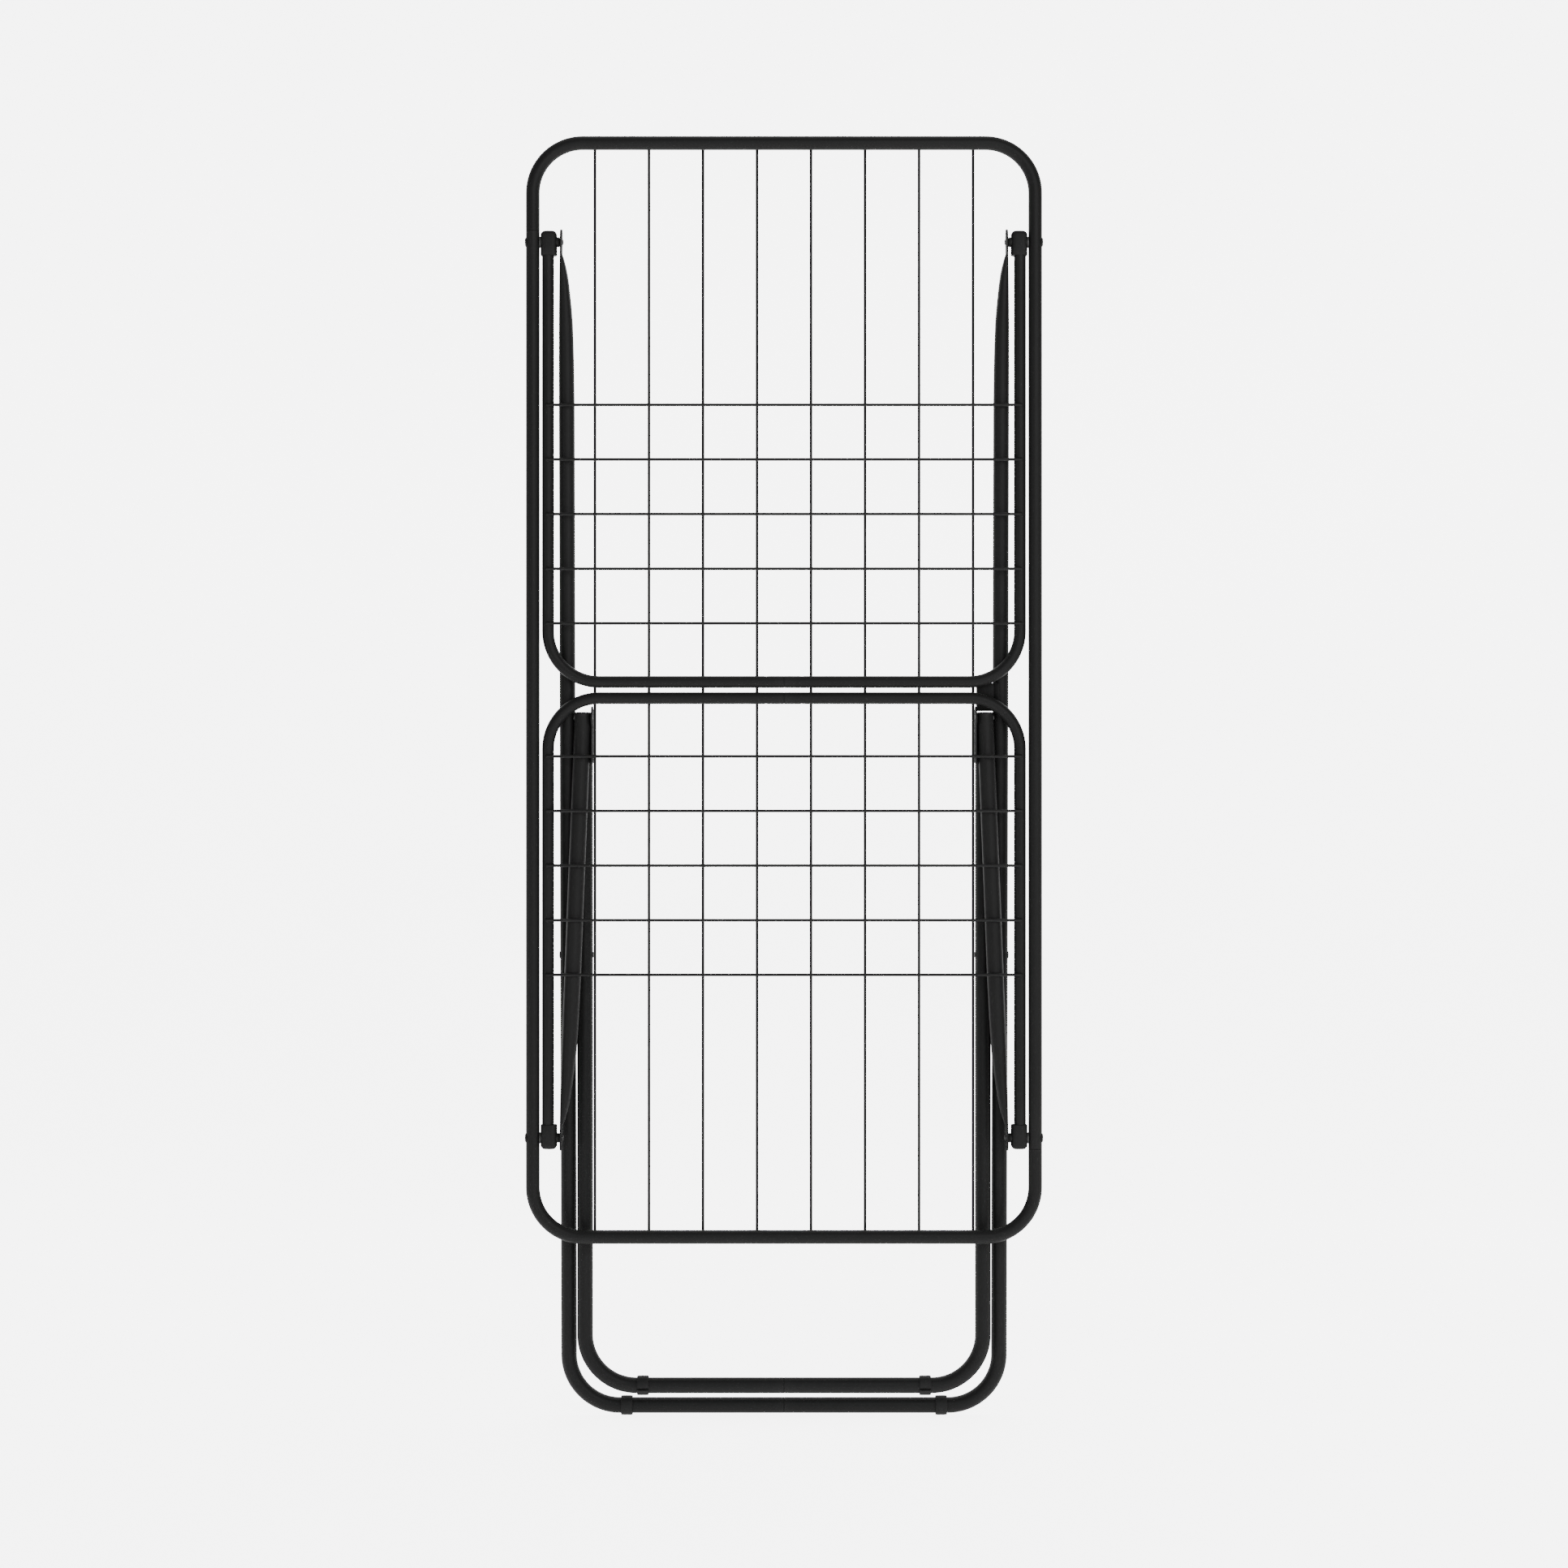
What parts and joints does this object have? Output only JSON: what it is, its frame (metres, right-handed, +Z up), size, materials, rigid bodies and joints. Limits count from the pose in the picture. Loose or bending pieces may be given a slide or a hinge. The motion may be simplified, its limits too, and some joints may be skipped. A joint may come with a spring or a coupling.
{
  "type": "folding clothes airer",
  "caption": "Free-standing folding clothes airer of bent tube: wired main frame, two hinged wired wings and two crossing folding legs with braces, folded flat.",
  "frame": {"origin": "centre of the bounding box of the folded airer in plan, at its lowest point", "axes": "+Z up along the folded airer from its feet to its top rail, +X to the right across its width, -Y towards its front, where the wing wires are, and +Y towards its back, where the legs are"},
  "size_m": [0.5722, 0.0662, 1.421],
  "materials": {
    "tube_paint": "satin black powder coat",
    "wire_paint": "satin black powder coat",
    "rivet_steel": "satin black",
    "liner_steel": "bare drawn steel",
    "hinge_plastic": "fine matte black",
    "foot_plastic": "fine matte black"
  },
  "bodies": {
    "main_frame": {"frame_tube_upper": "tube_paint", "frame_tube_lower": "tube_paint", "frame_sleeve_left": "liner_steel", "frame_sleeve_right": "liner_steel", "hinge_rivet_upper_left": "rivet_steel", "hinge_rivet_upper_right": "rivet_steel", "hinge_rivet_lower_left": "rivet_steel", "hinge_rivet_lower_right": "rivet_steel", "hinge_washers": "rivet_steel", "long_wire_1": "wire_paint", "long_wire_2": "wire_paint", "long_wire_3": "wire_paint", "long_wire_4": "wire_paint", "long_wire_5": "wire_paint", "long_wire_6": "wire_paint", "long_wire_7": "wire_paint", "long_wire_8": "wire_paint"},
    "outer_leg": {"outer_leg_tube_left": "tube_paint", "outer_leg_tube_right": "tube_paint", "outer_leg_sleeve": "liner_steel", "outer_foot_ring_left": "foot_plastic", "outer_foot_ring_right": "foot_plastic", "crossing_rivet_outer_left": "rivet_steel", "crossing_rivet_outer_right": "rivet_steel", "fold_catch": "hinge_plastic"},
    "inner_leg": {"inner_leg_tube_left": "tube_paint", "inner_leg_tube_right": "tube_paint", "inner_leg_sleeve": "liner_steel", "inner_foot_ring_left": "foot_plastic", "inner_foot_ring_right": "foot_plastic", "crossing_rivet_inner_left": "rivet_steel", "crossing_rivet_inner_right": "rivet_steel", "knee_knuckle_left": "hinge_plastic", "knee_knuckle_right": "hinge_plastic"},
    "braces": {"brace_left": "tube_paint", "brace_right": "tube_paint", "knee_rivet_left": "rivet_steel", "knee_rivet_right": "rivet_steel"},
    "upper_wing": {"upper_wing_tube_left": "tube_paint", "upper_wing_tube_right": "tube_paint", "upper_wing_sleeve": "liner_steel", "upper_wing_wire_1": "wire_paint", "upper_wing_wire_2": "wire_paint", "upper_wing_wire_3": "wire_paint", "upper_wing_wire_4": "wire_paint", "upper_wing_wire_5": "wire_paint", "upper_wing_cap_left": "hinge_plastic", "upper_wing_cap_right": "hinge_plastic"},
    "lower_wing": {"lower_wing_tube_left": "tube_paint", "lower_wing_tube_right": "tube_paint", "lower_wing_sleeve": "liner_steel", "lower_wing_wire_1": "wire_paint", "lower_wing_wire_2": "wire_paint", "lower_wing_wire_3": "wire_paint", "lower_wing_wire_4": "wire_paint", "lower_wing_wire_5": "wire_paint", "lower_wing_cap_left": "hinge_plastic", "lower_wing_cap_right": "hinge_plastic"}
  },
  "joints": [
    {"name": "outer_leg_swing", "type": "hinge", "parent": "main_frame", "child": "outer_leg", "pos_m": [0, -0.02303, 1.30391], "axis": [1, 0, 0], "range_deg": [0, 44.77]},
    {"name": "brace_swing", "type": "hinge", "parent": "main_frame", "child": "braces", "pos_m": [0, -0.02303, 0.31501], "axis": [-1, 0, 0], "range_deg": [0, 50.85]},
    {"name": "knee_fold", "type": "hinge", "parent": "braces", "child": "inner_leg", "pos_m": [0, -0.01342, 0.77953], "axis": [1, 0, 0], "range_deg": [0, 174.95]},
    {"name": "upper_wing_swing", "type": "hinge", "parent": "main_frame", "child": "upper_wing", "pos_m": [0, -0.02303, 1.30391], "axis": [-1, 0, 0], "range_deg": [0, 155]},
    {"name": "lower_wing_swing", "type": "hinge", "parent": "main_frame", "child": "lower_wing", "pos_m": [0, -0.02303, 0.31501], "axis": [1, 0, 0], "range_deg": [0, 155]}
  ],
  "couplings": [
    {"joint": "brace_swing", "follows": "outer_leg_swing", "ratio": 1.1354},
    {"joint": "knee_fold", "follows": "outer_leg_swing", "ratio": 3.9073}
  ]
}
